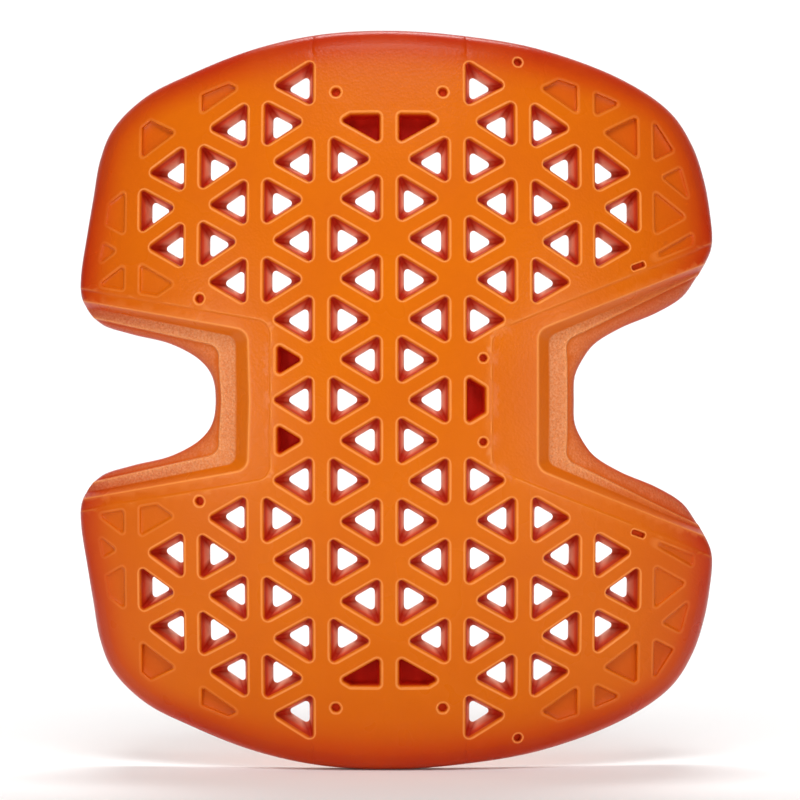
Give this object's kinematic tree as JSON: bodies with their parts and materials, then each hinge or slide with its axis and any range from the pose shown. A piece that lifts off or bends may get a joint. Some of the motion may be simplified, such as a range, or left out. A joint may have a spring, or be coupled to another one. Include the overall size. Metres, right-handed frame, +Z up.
{
  "type": "knee pad",
  "caption": "Domed one-piece elastomer knee pad insert with side notches and a triangular lattice of vents, divided at its bending lines.",
  "frame": {"origin": "middle of the knee side, where the kneecap rests", "axes": "+Z up the leg towards the thigh end, +X across the knee, -Y out of the domed front, +Y towards the knee"},
  "size_m": [0.2132, 0.0549, 0.245],
  "materials": {
    "smooth_elastomer": "satin moulded orange elastomer with a fine grain",
    "stippled_elastomer": "satin orange elastomer with a spark-eroded stipple on the notch ledges"
  },
  "bodies": {
    "thigh_half": {"thigh_panel": "smooth_elastomer", "thigh_end_tab": "smooth_elastomer", "knee_web": "smooth_elastomer", "left_waist_flange": "stippled_elastomer", "right_waist_flange": "stippled_elastomer"},
    "shin_half": {"shin_panel": "smooth_elastomer", "shin_end_tab": "smooth_elastomer"},
    "thigh_left_side": {"thigh_left_wing": "smooth_elastomer", "thigh_left_arm": "stippled_elastomer"},
    "thigh_right_side": {"thigh_right_wing": "smooth_elastomer", "thigh_right_arm": "stippled_elastomer"},
    "shin_left_side": {"shin_left_wing": "smooth_elastomer", "shin_left_arm": "stippled_elastomer"},
    "shin_right_side": {"shin_right_wing": "smooth_elastomer", "shin_right_arm": "stippled_elastomer"}
  },
  "joints": [
    {"name": "knee_flex", "type": "hinge", "parent": "thigh_half", "child": "shin_half", "pos_m": [0, 0.002, 0], "axis": [1, 0, 0], "range_deg": [-8, 40], "stiffness_Nm_per_rad": 0.8, "deforming": ["knee_web", "left_waist_flange", "right_waist_flange"]},
    {"name": "thigh_left_curl", "type": "hinge", "parent": "thigh_half", "child": "thigh_left_side", "pos_m": [-0.06537, 0.01376, 0.02], "axis": [0, -0.1545, -0.988], "range_deg": [-6, 20], "stiffness_Nm_per_rad": 0.5},
    {"name": "thigh_right_curl", "type": "hinge", "parent": "thigh_half", "child": "thigh_right_side", "pos_m": [0.06537, 0.01376, 0.02], "axis": [0, 0.1545, 0.988], "range_deg": [-6, 20], "stiffness_Nm_per_rad": 0.5},
    {"name": "shin_left_curl", "type": "hinge", "parent": "shin_half", "child": "shin_left_side", "pos_m": [-0.06537, 0.01376, -0.02], "axis": [0, 0.1545, -0.988], "range_deg": [-6, 20], "stiffness_Nm_per_rad": 0.5},
    {"name": "shin_right_curl", "type": "hinge", "parent": "shin_half", "child": "shin_right_side", "pos_m": [0.06537, 0.01376, -0.02], "axis": [0, -0.1545, 0.988], "range_deg": [-6, 20], "stiffness_Nm_per_rad": 0.5}
  ]
}
